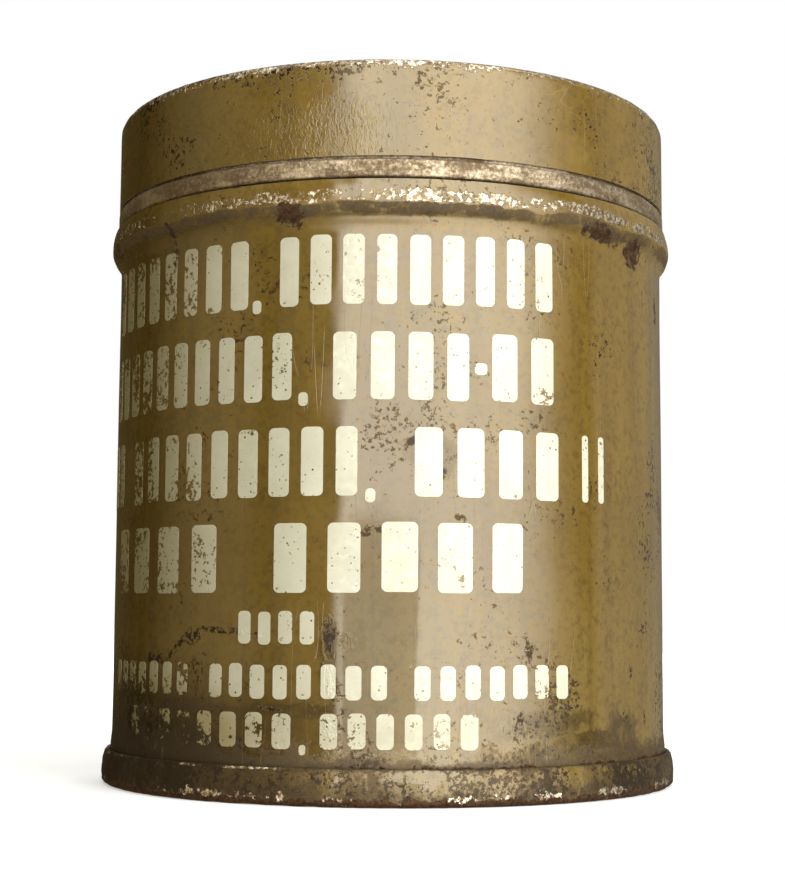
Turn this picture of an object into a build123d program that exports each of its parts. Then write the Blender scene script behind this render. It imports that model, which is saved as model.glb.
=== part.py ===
from build123d import *

import os
from math import acos, asin, cos, degrees, radians, sin

# Tall round slip-lid tin, in millimetres.  The tin's axis is Z and its foot stands on z = 0.
# The front is -Y, and the soldered side seam runs up the back, at +Y.
# Every sheet-metal piece is drawn as a mid-line in the XZ half plane, traced to the thickness
# of the sheet and turned about Z.

# Driving sizes
wall_radius = 31.75          # outside of the plain body wall
shell_height = 62.95         # foot to the top edge of the body shell
lid_depth = 10.35            # height of the lid
sheet = 0.28                 # thickness of the tinplate

# Bead rolled under the top edge of the body shell
bead_projection = 1.03       # crest beyond the plain wall
bead_bend_radius = 2.2       # of both bends below the crest, on the mid-line
lip_radius = 5.5             # of the bend above the crest, on the mid-line
lip_height = 2.05            # crest to the top edge

# Neck ring: a leg inside the shell, a stop band flush with the lid, and the neck for the lid
band_height = 2.0            # visible height of the bare stop band
band_gap = 0.25              # dark joint above the band, and another below it
band_projection = 0.40       # band beyond the plain wall
band_bend_radius = 0.2       # on the mid-line
leg_bend_radius = 0.3        # on the mid-line
leg_length = 10.0            # top edge of the shell to the lower end of the leg
leg_clearance = 0.05         # leg to the inside of the wall

# Lid
lid_projection = 0.35        # skirt beyond the plain wall
lid_clearance = 0.10         # skirt to the neck
lid_corner_radius = 1.0      # on the mid-line
lid_rim_width = 2.4          # flat ring round the sunk panel
panel_sink = 0.5             # of the lid's panel below its rim
panel_step_width = 0.9
panel_bend_radius = 0.5

# Card liner in the lid
liner_thickness = 0.8
liner_gap = 0.05             # to the lid above, and to the neck's rim below
liner_clearance = 0.17       # to the inside of the skirt

# Double seam that holds the base
seam_height = 3.8
flare = 0.15                 # the wall widens by this much just above the seam
flare_height = 2.6           # over this height
layer_gap = 0.03             # between the folded layers
compound_gap = 0.08          # between the body's hook and the outer layer
toe_radius = 0.55            # outer bottom bend, on the mid-line
heel_radius = 0.35           # inner bottom bend, on the mid-line
crown_radius = 5.0           # outer layer leaning in towards the top, on the mid-line
crown_angle = 20.0           # degrees of that bend
body_hook_top = 2.3          # height of the free end of the body's hook
cover_hook_end = 1.2         # height of the free end of the base's hook
compound_end_gap = 0.05      # compound to the base's hook above it
compound_floor_gap = 0.04    # compound to the start of the bend below it

# Base panel
panel_height = 2.7           # underside of the outer ring of the base panel
base_step = 0.5              # the centre of the panel stands this much higher
base_step_radius = 24.5
base_step_width = 0.9

# Lapped and soldered side seams
lap_width = 5.2
lap_end_margin = 0.8         # plain wall left above the flare and below the bead
solder_width = 0.7
solder_height = 0.18
neck_solder_width = 2.6
neck_solder_height = 0.12
neck_solder_margin = 0.8     # from the band and from the neck's rim

# Polish
headspace = 15.0             # top edge of the shell to the polish at the wall
polish_gap = 0.08            # dried polish shrunk away from the metal
dish_radius = 150.0          # of the worn hollow in its top
dish_margin = 1.5            # rim of polish left standing at the wall
dish_offset = (1.0, -0.6)    # the hollow is a little off the axis

# Radii and heights that follow from the driving sizes
half_sheet = sheet / 2
wall_mid = wall_radius - half_sheet
wall_inside = wall_radius - sheet
bead_angle = degrees(acos(1 - bead_projection / (2 * bead_bend_radius)))
lip_angle = degrees(asin(lip_height / lip_radius))
crest_height = shell_height - lip_height
bead_start = crest_height - 2 * bead_bend_radius * sin(radians(bead_angle))

flare_start = seam_height + flare_height
foot_mid = wall_mid + flare
body_hook_mid = foot_mid + 2 * (sheet + layer_gap)
cover_hook_mid = foot_mid + sheet + layer_gap
body_bend_radius = (body_hook_mid - foot_mid) / 2
body_bend_height = sheet + layer_gap + half_sheet + body_bend_radius
compound_bottom = body_bend_height + compound_floor_gap
seam_mid = body_hook_mid + sheet + compound_gap
chuck_mid = foot_mid - sheet - layer_gap
crown_end_mid = seam_mid - crown_radius * (1 - cos(radians(crown_angle)))
curl_radius = (crown_end_mid - cover_hook_mid) / (1 + cos(radians(crown_angle)))
crown_end_height = seam_height - half_sheet - curl_radius * (1 - sin(radians(crown_angle)))
crown_start_height = crown_end_height - crown_radius * sin(radians(crown_angle))

lid_edge = shell_height + band_height + 2 * band_gap
total_height = lid_edge + lid_depth
lid_mid = wall_radius + lid_projection - half_sheet
neck_mid = lid_mid - sheet - lid_clearance
band_mid = wall_radius + band_projection - half_sheet
leg_mid = wall_inside - leg_clearance - half_sheet
band_bottom_mid = shell_height + band_gap + half_sheet
band_top_mid = lid_edge - band_gap - half_sheet
lid_top_mid = total_height - half_sheet
lid_panel_mid = lid_top_mid - panel_sink
lid_step_outer = lid_mid - lid_corner_radius - lid_rim_width
liner_top = lid_panel_mid - half_sheet - liner_gap
liner_bottom = liner_top - liner_thickness
neck_top = liner_bottom - liner_gap

ring_panel_mid = panel_height + half_sheet
centre_panel_mid = ring_panel_mid + base_step
base_inside = centre_panel_mid + half_sheet

polish_radius = wall_inside - polish_gap
polish_top = shell_height - headspace


def back_strip(inner_radius, outer_radius, centre_x, width):
    """Section of a strip that follows a round wall at the back of the tin."""
    Circle(outer_radius)
    Circle(inner_radius, mode=Mode.SUBTRACT)
    with Locations((centre_x, outer_radius)):
        Rectangle(width, outer_radius, mode=Mode.INTERSECT)


# Body shell: hook of the seam, wall, bead and lip, with the lap of the side seam outside
with BuildPart() as body_shell:
    with BuildSketch(Plane.XZ):
        with BuildLine():
            hook = Line((body_hook_mid, body_hook_top), (body_hook_mid, body_bend_height))
            turn = JernArc(hook @ 1, hook % 1, body_bend_radius, -180)
            foot = Line(turn @ 1, (foot_mid, seam_height))
            flared = Spline(
                foot @ 1, (wall_mid, flare_start), tangents=((0, 1), (0, 1))
            )
            wall = Line(flared @ 1, (wall_mid, bead_start))
            root = JernArc(wall @ 1, wall % 1, bead_bend_radius, -bead_angle)
            crown = JernArc(root @ 1, root % 1, bead_bend_radius, bead_angle)
            JernArc(crown @ 1, crown % 1, lip_radius, lip_angle)
        trace(line_width=sheet)
    revolve(axis=Axis.Z)
    lap_bottom = flare_start + lap_end_margin
    lap_top = bead_start - lap_end_margin
    with BuildSketch(Plane.XY.offset(lap_bottom)):
        back_strip(wall_mid, wall_radius + sheet, 0, lap_width)
    extrude(amount=lap_top - lap_bottom)

# Solder run along the free edge of the lap
with BuildPart() as body_seam_solder:
    with BuildSketch(Plane.XY.offset(lap_bottom)):
        back_strip(
            wall_radius, wall_radius + solder_height, (lap_width + solder_width) / 2, solder_width
        )
    extrude(amount=lap_top - lap_bottom)

# Neck ring, all bare metal
with BuildPart() as neck_ring:
    with BuildSketch(Plane.XZ):
        with BuildLine():
            FilletPolyline(
                (leg_mid, shell_height - leg_length),
                (leg_mid, band_bottom_mid),
                (band_mid, band_bottom_mid),
                (band_mid, band_top_mid),
                (neck_mid, band_top_mid),
                (neck_mid, neck_top),
                radius=(leg_bend_radius, leg_bend_radius, band_bend_radius, band_bend_radius),
            )
        trace(line_width=sheet)
    revolve(axis=Axis.Z)

# Solder over the joint inside the neck
with BuildPart() as neck_ring_solder:
    neck_solder_bottom = lid_edge + neck_solder_margin
    neck_solder_top = neck_top - neck_solder_margin
    neck_inside = neck_mid - half_sheet
    with BuildSketch(Plane.XY.offset(neck_solder_bottom)):
        back_strip(neck_inside - neck_solder_height, neck_inside, 0, neck_solder_width)
    extrude(amount=neck_solder_top - neck_solder_bottom)

# Base: stepped panel, wall inside the foot, and the outer layer and hook of the seam
with BuildPart() as base_end:
    with BuildSketch(Plane.XZ):
        with BuildLine():
            panel = FilletPolyline(
                (0, centre_panel_mid),
                (base_step_radius, centre_panel_mid),
                (base_step_radius + base_step_width, ring_panel_mid),
                (chuck_mid, ring_panel_mid),
                (chuck_mid, half_sheet + heel_radius),
                radius=(panel_bend_radius, panel_bend_radius, heel_radius),
            )
            heel = JernArc(panel @ 1, (0, -1), heel_radius, 90)
            sole = Line(heel @ 1, (seam_mid - toe_radius, half_sheet))
            toe = JernArc(sole @ 1, sole % 1, toe_radius, 90)
            waist = Line(toe @ 1, (seam_mid, crown_start_height))
            crown = JernArc(waist @ 1, waist % 1, crown_radius, crown_angle)
            curl = JernArc(crown @ 1, crown % 1, curl_radius, 180 - crown_angle)
            Line(curl @ 1, (cover_hook_mid, cover_hook_end))
        trace(line_width=sheet)
    revolve(axis=Axis.Z)

# Sealing compound shut inside the seam, under the base's hook
with BuildPart() as base_seam_compound:
    with BuildSketch(Plane.XY.offset(compound_bottom)):
        Circle(cover_hook_mid + half_sheet)
        Circle(cover_hook_mid - half_sheet, mode=Mode.SUBTRACT)
    extrude(amount=cover_hook_end - compound_end_gap - compound_bottom)

# Drawn lid with a sunk panel
with BuildPart() as lid_shell:
    with BuildSketch(Plane.XZ):
        with BuildLine():
            FilletPolyline(
                (0, lid_panel_mid),
                (lid_step_outer - panel_step_width, lid_panel_mid),
                (lid_step_outer, lid_top_mid),
                (lid_mid, lid_top_mid),
                (lid_mid, lid_edge),
                radius=(panel_bend_radius, panel_bend_radius, lid_corner_radius),
            )
        trace(line_width=sheet)
    revolve(axis=Axis.Z)

# Waxed card liner, which lies on the neck's rim
with BuildPart() as lid_liner:
    with BuildSketch(Plane.XY.offset(liner_bottom)):
        Circle(lid_mid - half_sheet - liner_clearance)
    extrude(amount=liner_thickness)

# Polish, with a shallow worn hollow in its top
with BuildPart() as polish:
    with BuildSketch(Plane.XY.offset(base_inside + polish_gap)):
        Circle(polish_radius)
    extrude(amount=polish_top - base_inside - polish_gap)
    rim_rise = dish_radius * (1 - cos(asin((polish_radius - dish_margin) / dish_radius)))
    with Locations((*dish_offset, polish_top + dish_radius - rim_rise)):
        Sphere(dish_radius, mode=Mode.SUBTRACT)

pieces = {
    "body_shell": body_shell,
    "body_seam_solder": body_seam_solder,
    "neck_ring": neck_ring,
    "neck_ring_solder": neck_ring_solder,
    "base_end": base_end,
    "base_seam_compound": base_seam_compound,
    "lid_shell": lid_shell,
    "lid_liner": lid_liner,
    "polish": polish,
}

os.makedirs("parts", exist_ok=True)
for node, piece in pieces.items():
    piece.part.label = node
    export_step(piece.part, f"parts/{node}.step")
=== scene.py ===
import math
import random

import bpy
import numpy as np
from mathutils import Matrix, Vector


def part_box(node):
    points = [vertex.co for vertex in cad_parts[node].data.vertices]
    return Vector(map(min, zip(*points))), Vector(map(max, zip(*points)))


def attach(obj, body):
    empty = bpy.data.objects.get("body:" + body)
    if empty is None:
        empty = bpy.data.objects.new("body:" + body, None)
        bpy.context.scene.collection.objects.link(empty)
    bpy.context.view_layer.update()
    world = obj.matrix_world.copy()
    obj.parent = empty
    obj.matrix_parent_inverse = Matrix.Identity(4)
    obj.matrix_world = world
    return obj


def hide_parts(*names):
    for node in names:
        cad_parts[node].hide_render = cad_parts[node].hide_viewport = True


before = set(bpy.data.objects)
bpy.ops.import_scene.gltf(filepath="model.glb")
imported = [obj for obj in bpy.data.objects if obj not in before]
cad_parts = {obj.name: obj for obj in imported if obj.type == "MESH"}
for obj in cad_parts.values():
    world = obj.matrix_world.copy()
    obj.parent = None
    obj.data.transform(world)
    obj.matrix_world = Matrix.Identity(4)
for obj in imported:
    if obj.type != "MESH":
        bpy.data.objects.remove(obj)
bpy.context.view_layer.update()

# Lengths are in millimetres until a mesh is made.  The tin's axis is Z and its front is -Y.
# Places on the wall are an angle round the axis, in degrees, 0 at the front and growing to the
# right as seen from the front, and a height above the foot.
MM = 0.001


# ---- sizes read from the frame
def extent(node):
    """Outer radius, bottom and top of a round CAD node."""
    low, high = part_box(node)
    return high.x / MM, low.z / MM, high.z / MM


lid_radius, lid_edge, lid_top = extent("lid_shell")
crest_radius, _, shell_top = extent("body_shell")
band_radius, leg_bottom, neck_top = extent("neck_ring")
seam_radius, _, seam_top = extent("base_end")
polish_radius, polish_bottom, polish_top = extent("polish")

# Sizes that a box doesn't tell.  A bend is the radius of a sheet's mid-line.
sheet = 0.28                 # tinplate
half_sheet = sheet / 2
wall_radius = 31.75
wall_mid = wall_radius - half_sheet
flare = 0.15                 # the wall widens by this much where it enters the seam
flare_height = 2.6
flare_bend = 8.0
bead_bend = 2.2              # both bends below the bead's crest
lip_bend = 5.5               # above the crest
lip_height = 2.05            # crest to the top edge
layer_gap = 0.03             # between the folds of the seam
body_hook_top = 2.3          # free end of the wall's hook in the seam
cover_hook_end = 1.2         # free end of the base's hook
toe_bend = 0.55              # outer lower edge of the seam
heel_bend = 0.35             # inner lower edge
crown_bend = 5.0             # where the seam's outside leans in
crown_lean = math.radians(20)
crown_start = 1.83           # height of that bend's lower end
curl_bend = 0.13             # top of the seam
lid_clearance = 0.10         # neck to lid
leg_clearance = 0.05         # neck ring's leg to wall
leg_bend = 0.3
band_bend = 0.2
band_gap = 0.25              # above and below the bare band
panel_sink = 0.5             # lid panel below its rim
panel_step = 0.9             # width of the steps in the lid and base panels
panel_bend = 0.5
rim_width = 2.4
lid_corner = 1.0
base_step_radius = 24.5
centre_panel = 3.34          # height of the base panel's middle, on its mid-line
ring_panel = 2.84            # and of its outer ring
paste_gap = 0.15             # paste to wall
paste_drop = 0.4             # top of the paste below its CAD solid, at the wall
paste_dish = 3.0             # depth of the worn hollow


# ---- round sheet-metal meshes
def rounded(points, radii, bend_step=6.0):
    """An open line through points, with its inner corners rounded to radii."""
    line = [np.array(points[0], float)]
    for before, corner, after, radius in zip(points, points[1:], points[2:], radii):
        before, corner, after = (np.array(p, float) for p in (before, corner, after))
        into = (corner - before) / np.linalg.norm(corner - before)
        out = (after - corner) / np.linalg.norm(after - corner)
        turn = math.atan2(into[0] * out[1] - into[1] * out[0], into @ out)
        reach = radius * math.tan(abs(turn) / 2)
        start = corner - into * reach
        side = math.copysign(1, turn)
        centre = start + radius * side * np.array([-into[1], into[0]])
        steps = max(2, math.ceil(math.degrees(abs(turn)) / bend_step))
        arm = start - centre
        for k in range(steps + 1):
            a = turn * k / steps
            c, s = math.cos(a), math.sin(a)
            line.append(centre + np.array([c * arm[0] - s * arm[1], s * arm[0] + c * arm[1]]))
    line.append(np.array(points[-1], float))
    return np.array(line)


def stepped(line, longest):
    """The same line with points added, so that no step is longer."""
    out = [line[0]]
    for a, b in zip(line, line[1:]):
        n = max(1, math.ceil(np.linalg.norm(b - a) / longest))
        out.extend(a + (b - a) * k / n for k in range(1, n + 1))
    return np.array(out)


def section(mid_line, thickness):
    """Closed outline of a sheet of that thickness round its mid-line."""
    tangent = np.gradient(mid_line, axis=0)
    tangent /= np.linalg.norm(tangent, axis=1)[:, None]
    normal = np.stack([tangent[:, 1], -tangent[:, 0]], axis=1)
    right = mid_line + normal * thickness / 2
    left = mid_line - normal * thickness / 2
    return np.concatenate([right, left[::-1]])


def lathe(name, outline, turns, move=None, closed=True):
    """Turns an outline about Z.  move(radius, degrees, height) gives the moved radius and height."""
    angles = np.arange(turns) * 2 * math.pi / turns
    radius = np.repeat(np.maximum(outline[:, 0], 0)[:, None], turns, axis=1)
    height = np.repeat(outline[:, 1][:, None], turns, axis=1)
    angle = np.repeat(angles[None, :], len(outline), axis=0)
    if move:
        wrapped = (np.degrees(angle) + 180) % 360 - 180
        radius, height = move(radius, wrapped, height)
    vertices = np.stack([radius * np.sin(angle), -radius * np.cos(angle), height], axis=-1)
    rows = len(outline)
    pairs = [(i, (i + 1) % rows) for i in range(rows if closed else rows - 1)]
    faces = []
    for i, j in pairs:
        if outline[i, 0] <= 0 and outline[j, 0] <= 0:
            continue
        for k in range(turns):
            m = (k + 1) % turns
            quad = (i * turns + k, i * turns + m, j * turns + m, j * turns + k)
            if outline[i, 0] <= 0:
                quad = (i * turns, j * turns + m, j * turns + k)
            elif outline[j, 0] <= 0:
                quad = (i * turns + k, i * turns + m, j * turns)
            faces.append(quad)
    return mesh_piece(name, vertices.reshape(-1, 3), faces)


def mesh_piece(name, vertices, faces):
    """A mesh object from vertices in millimetres; vertices that no face uses are dropped."""
    used = sorted({i for f in faces for i in f})
    number = {old: new for new, old in enumerate(used)}
    mesh = bpy.data.meshes.new(name)
    mesh.from_pydata(
        [tuple(vertices[i] * MM) for i in used], [], [tuple(number[i] for i in f) for f in faces]
    )
    mesh.validate()
    mesh.shade_smooth()
    mesh.set_sharp_from_angle(angle=math.radians(38))
    obj = bpy.data.objects.new(name, mesh)
    bpy.context.scene.collection.objects.link(obj)
    return obj


# ---- how an old tin is out of true
def ripple(angle, height, seed, waves, rise=0.02):
    """Smooth random unevenness round the tin, from about -1 to 1, with no join."""
    rng = random.Random(seed)
    total = 0
    for _ in range(10):
        n = rng.randint(*waves)
        tilt = rng.uniform(-rise, rise) * n
        phase = rng.uniform(0, 2 * math.pi)
        total = total + rng.uniform(0.4, 1) * np.sin(n * np.radians(angle) + tilt * height + phase)
    return total / 4


def fade(value, low, high):
    """0 below low, 1 above high, smooth between."""
    t = np.clip((value - low) / (high - low), 0, 1)
    return t * t * (3 - 2 * t)


# Dents in the wall: angle, height, half-width round and up, depth
WALL_DENTS = [
    (-11.0, 31.0, 3.0, 9.0, 0.10),
    (14.0, 44.0, 2.2, 7.0, 0.08),
    (27.0, 19.0, 5.0, 4.0, 0.12),
    (-42.0, 16.0, 6.0, 3.0, 0.12),
    (52.0, 34.0, 3.0, 12.0, 0.10),
    (118.0, 40.0, 8.0, 6.0, 0.25),
    (-128.0, 22.0, 9.0, 7.0, 0.30),
    (160.0, 12.0, 6.0, 4.0, 0.20),
]


def wall_move(radius, angle, height):
    """The body's wall: faint waves and dents between the seam and the bead."""
    open_wall = fade(height, seam_top + 1, seam_top + 8) * fade(-height, -58, -52)
    inset = 0.05 * ripple(angle, height, 3, (4, 13))
    for at, level, across, up, depth in WALL_DENTS:
        away = (np.radians((angle - at + 180) % 360 - 180) * wall_radius / across) ** 2
        inset = inset - depth * np.exp(-away - ((height - level) / up) ** 2)
    crest = fade(height, 58, 60) * 0.04 * ripple(angle, height, 5, (12, 60))
    return radius + open_wall * inset + crest, height


def seam_move(radius, angle, height):
    """The base seam, knocked about along its outer and lower edge."""
    outside = fade(radius, seam_radius - 1.2, seam_radius - 0.3)
    knocks = 0.06 * ripple(angle, height, 8, (18, 90), 0.2) + 0.05 * ripple(angle, 0, 9, (3, 14))
    low = fade(-height, -1.2, 0)
    return radius + outside * (knocks - 0.05), height + outside * low * np.abs(knocks) * 0.8


def lid_move(radius, angle, height):
    """The lid: a slightly uneven top corner and lower edge."""
    skirt = fade(radius, lid_radius - 1.5, lid_radius - 0.5)
    corner = fade(height, lid_top - 2.0, lid_top - 0.5)
    edge = fade(-height, -lid_edge - 1.2, -lid_edge)
    waves = 0.03 * ripple(angle, height, 12, (3, 9)) * fade(height, lid_edge + 1, lid_edge + 4)
    nicks = 0.035 * ripple(angle, 0, 13, (20, 90)) * corner
    lift = 0.05 * ripple(angle, 0, 14, (8, 40)) * edge
    return radius + skirt * (waves * (1 - corner) + nicks - 0.03 * corner), height + np.abs(lift)


# ---- the pieces
def body_outline():
    foot_mid = wall_mid + flare
    hook_mid = foot_mid + 2 * (sheet + layer_gap)
    hook_bend = (hook_mid - foot_mid) / 2
    hook_low = sheet + layer_gap + half_sheet
    crest_mid = crest_radius - half_sheet
    crest_height = shell_top_mid() - lip_height
    bead_angle = math.acos(1 - (crest_mid - wall_mid) / (2 * bead_bend))
    lip_angle = math.asin(lip_height / lip_bend)
    root = bead_bend * math.tan(bead_angle / 2)
    lip = lip_bend * math.tan(lip_angle / 2)
    bead_start = crest_height - 2 * bead_bend * math.sin(bead_angle)
    points = [
        (hook_mid, body_hook_top),
        (hook_mid, hook_low),
        (foot_mid, hook_low),
        (foot_mid, seam_top + flare_height / 4),
        (wall_mid, seam_top + flare_height * 3 / 4),
        (wall_mid, bead_start + root),
        (crest_mid, crest_height - root),
        (crest_mid, crest_height + lip),
        (crest_mid - lip * math.sin(lip_angle), crest_height + lip + lip * math.cos(lip_angle)),
    ]
    bends = (hook_bend, hook_bend, flare_bend, flare_bend, bead_bend, bead_bend, lip_bend)
    return rounded(points, bends, 4.0)


def shell_top_mid():
    """Height of the lip's end on its mid-line; the sheet's outer corner stands a little higher."""
    lean = math.asin(lip_height / lip_bend)
    return shell_top - half_sheet * math.sin(lean)


def neck_outline():
    neck_mid = lid_radius - sheet - lid_clearance - half_sheet
    leg_mid = wall_radius - sheet - leg_clearance - half_sheet
    band_mid = band_radius - half_sheet
    low = shell_top_mid() + band_gap + half_sheet
    high = lid_edge - band_gap - half_sheet
    points = [
        (leg_mid, leg_bottom),
        (leg_mid, low),
        (band_mid, low),
        (band_mid, high),
        (neck_mid, high),
        (neck_mid, neck_top),
    ]
    return rounded(points, (leg_bend, leg_bend, band_bend, band_bend), 10.0)


def base_outline():
    foot_mid = wall_mid + flare
    chuck_mid = foot_mid - sheet - layer_gap
    cover_mid = foot_mid + sheet + layer_gap
    seam_mid = seam_radius - half_sheet
    top_mid = seam_top - half_sheet
    crown = crown_start + crown_bend * math.tan(crown_lean / 2)
    shoulder = seam_mid - (top_mid - crown) * math.tan(crown_lean)
    points = [
        (0, centre_panel),
        (base_step_radius, centre_panel),
        (base_step_radius + panel_step, ring_panel),
        (chuck_mid, ring_panel),
        (chuck_mid, half_sheet),
        (seam_mid, half_sheet),
        (seam_mid, crown),
        (shoulder, top_mid),
        (cover_mid, top_mid),
        (cover_mid, cover_hook_end),
    ]
    bends = (panel_bend, panel_bend, heel_bend, heel_bend, toe_bend, crown_bend, curl_bend, curl_bend)
    return rounded(points, bends, 10.0)


def lid_outline():
    lid_mid = lid_radius - half_sheet
    top_mid = lid_top - half_sheet
    step_outer = lid_mid - lid_corner - rim_width
    points = [
        (0, top_mid - panel_sink),
        (step_outer - panel_step, top_mid - panel_sink),
        (step_outer, top_mid),
        (lid_mid, top_mid),
        (lid_mid, lid_edge),
    ]
    return rounded(points, (panel_bend, panel_bend, lid_corner), 8.0)


# ---- material helpers
class Paint:
    """A material in the making.  Each helper adds nodes and gives back a socket."""

    def __init__(self, name):
        self.material = bpy.data.materials.new(name)
        self.material.use_nodes = True
        self.nodes = self.material.node_tree.nodes
        self.links = self.material.node_tree.links
        self.shader = self.nodes["Principled BSDF"]
        coordinates = self.nodes.new("ShaderNodeTexCoord")
        self.place = self.vector("SCALE", coordinates.outputs["Object"], scale=1 / MM)
        split = self.nodes.new("ShaderNodeSeparateXYZ")
        self.links.new(self.place, split.inputs[0])
        self.x, self.y, self.z = split.outputs

    def put(self, socket, value):
        """Links a socket to another, or gives it a value."""
        if isinstance(value, bpy.types.NodeSocket):
            self.links.new(value, socket)
        elif isinstance(value, tuple) and socket.type == "RGBA":
            socket.default_value = (*value, 1)
        else:
            socket.default_value = value

    def set(self, name, value):
        """Links or sets one of the shader's own sockets."""
        self.put(self.shader.inputs[name], value)

    def math(self, operation, a, b=0.0):
        node = self.nodes.new("ShaderNodeMath")
        node.operation = operation
        self.put(node.inputs[0], a)
        self.put(node.inputs[1], b)
        return node.outputs[0]

    def vector(self, operation, a, b=None, scale=None):
        node = self.nodes.new("ShaderNodeVectorMath")
        node.operation = operation
        self.put(node.inputs[0], a)
        if b is not None:
            self.put(node.inputs[1], b)
        if scale is not None:
            node.inputs["Scale"].default_value = scale
        return node.outputs[0]

    def add(self, *values):
        total = values[0]
        for value in values[1:]:
            total = self.math("ADD", total, value)
        return total

    def times(self, *values):
        total = values[0]
        for value in values[1:]:
            total = self.math("MULTIPLY", total, value)
        return total

    def most(self, *values):
        total = values[0]
        for value in values[1:]:
            total = self.math("MAXIMUM", total, value)
        return total

    def without(self, value):
        return self.math("SUBTRACT", 1.0, value)

    def step(self, value, low, high, bottom=0.0, top=1.0):
        """Smooth step from bottom at low to top at high; low may be above high."""
        node = self.nodes.new("ShaderNodeMapRange")
        node.interpolation_type = "SMOOTHSTEP"
        self.put(node.inputs["Value"], value)
        if low > high:
            low, high, bottom, top = high, low, top, bottom
        node.inputs["From Min"].default_value = low
        node.inputs["From Max"].default_value = high
        node.inputs["To Min"].default_value = bottom
        node.inputs["To Max"].default_value = top
        return node.outputs[0]

    def moved(self, seed, stretch):
        """The place in mm, stretched, and shifted so that each seed has its own pattern."""
        node = self.nodes.new("ShaderNodeVectorMath")
        node.operation = "MULTIPLY_ADD"
        self.put(node.inputs[0], self.place)
        node.inputs[1].default_value = tuple(1 / s for s in stretch)
        node.inputs[2].default_value = (seed * 17.3, seed * 5.9, seed * 11.1)
        return node.outputs[0]

    def noise(self, seed, size, detail=3.0, stretch=(1, 1, 1), twist=0.0, rough=0.55):
        """Noise from 0 to 1 with blobs about size mm across, longer along a stretched axis."""
        node = self.nodes.new("ShaderNodeTexNoise")
        self.put(node.inputs["Vector"], self.moved(seed, stretch))
        node.inputs["Scale"].default_value = 0.5 / size
        node.inputs["Detail"].default_value = detail
        node.inputs["Roughness"].default_value = rough
        node.inputs["Distortion"].default_value = twist
        return node.outputs[0]

    def cells(self, seed, size, stretch=(1, 1, 1)):
        """Distance to the nearest of many scattered points, in cells of about size mm."""
        node = self.nodes.new("ShaderNodeTexVoronoi")
        self.put(node.inputs["Vector"], self.moved(seed, stretch))
        node.inputs["Scale"].default_value = 1 / size
        return node.outputs["Distance"]

    def mix(self, share, a, b):
        node = self.nodes.new("ShaderNodeMix")
        self.put(node.inputs[0], share)
        self.put(node.inputs[2], a)
        self.put(node.inputs[3], b)
        return node.outputs[0]

    def tint(self, share, a, b):
        node = self.nodes.new("ShaderNodeMix")
        node.data_type = "RGBA"
        self.put(node.inputs[0], share)
        self.put(node.inputs[6], a)
        self.put(node.inputs[7], b)
        return node.outputs[2]

    def arc(self):
        """Distance round the wall from the front line, in mm, positive to the right."""
        angle = self.math("ARCTAN2", self.x, self.times(self.y, -1.0))
        return self.times(angle, wall_radius)

    def radius(self):
        square = self.add(self.times(self.x, self.x), self.times(self.y, self.y))
        return self.math("SQRT", square)

    def spot(self, along, at, height, across, up, lean=0.0, ragged=None):
        """A patch on the wall, 1 inside and 0 outside, leaning by an angle in degrees."""
        c, s = math.cos(math.radians(lean)), math.sin(math.radians(lean))
        dx = self.math("SUBTRACT", along, at)
        dz = self.math("SUBTRACT", self.z, height)
        u = self.add(self.times(dx, c / across), self.times(dz, s / across))
        v = self.add(self.times(dx, -s / up), self.times(dz, c / up))
        distance = self.math("SQRT", self.add(self.times(u, u), self.times(v, v)))
        if ragged is not None:
            distance = self.add(distance, self.times(self.math("SUBTRACT", ragged, 0.5), 2.6))
        return self.step(distance, 1.15, 0.75)

    def spots(self, along, places, ragged):
        """All the patches of a list, with ragged edges."""
        return self.most(*[self.spot(along, *place, ragged=ragged) for place in places])

    def finish(self, color, roughness, height=None, metal=None, gloss=1.5):
        """Links the surface; height is in mm."""
        self.set("Base Color", color)
        self.set("Roughness", roughness)
        self.set("IOR", gloss)
        if metal is not None:
            self.set("Metallic", metal)
        if height is not None:
            bump = self.nodes.new("ShaderNodeBump")
            bump.inputs["Strength"].default_value = 1.0
            bump.inputs["Distance"].default_value = MM
            self.put(bump.inputs["Height"], height)
            self.set("Normal", bump.outputs[0])
        return self.material


# ---- lacquered tinplate
LACQUER_GLOSS = 1.9           # a glossy varnish over bright metal mirrors more than plastic
OLIVE = (0.222, 0.143, 0.021)
OLIVE_DARK = (0.158, 0.097, 0.010)
OLIVE_PALE = (0.240, 0.178, 0.062)
TARNISH = (0.104, 0.064, 0.012)
# Brown dirt; on the wall it also lays painted shade under the bead
GRIME_AND_SHADE = (0.031, 0.018, 0.006)
PALE_GRIME_AND_SHADE = (0.072, 0.047, 0.018)
# Near-black: soot in specks and marks, and painted shade on the lower left of the wall and on the left of
# the seam
SOOT_AND_SHADE = (0.020, 0.012, 0.006)
RUST = (0.034, 0.015, 0.007)
RUST_PALE = (0.085, 0.045, 0.022)
STEEL = (0.78, 0.74, 0.66)


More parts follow.
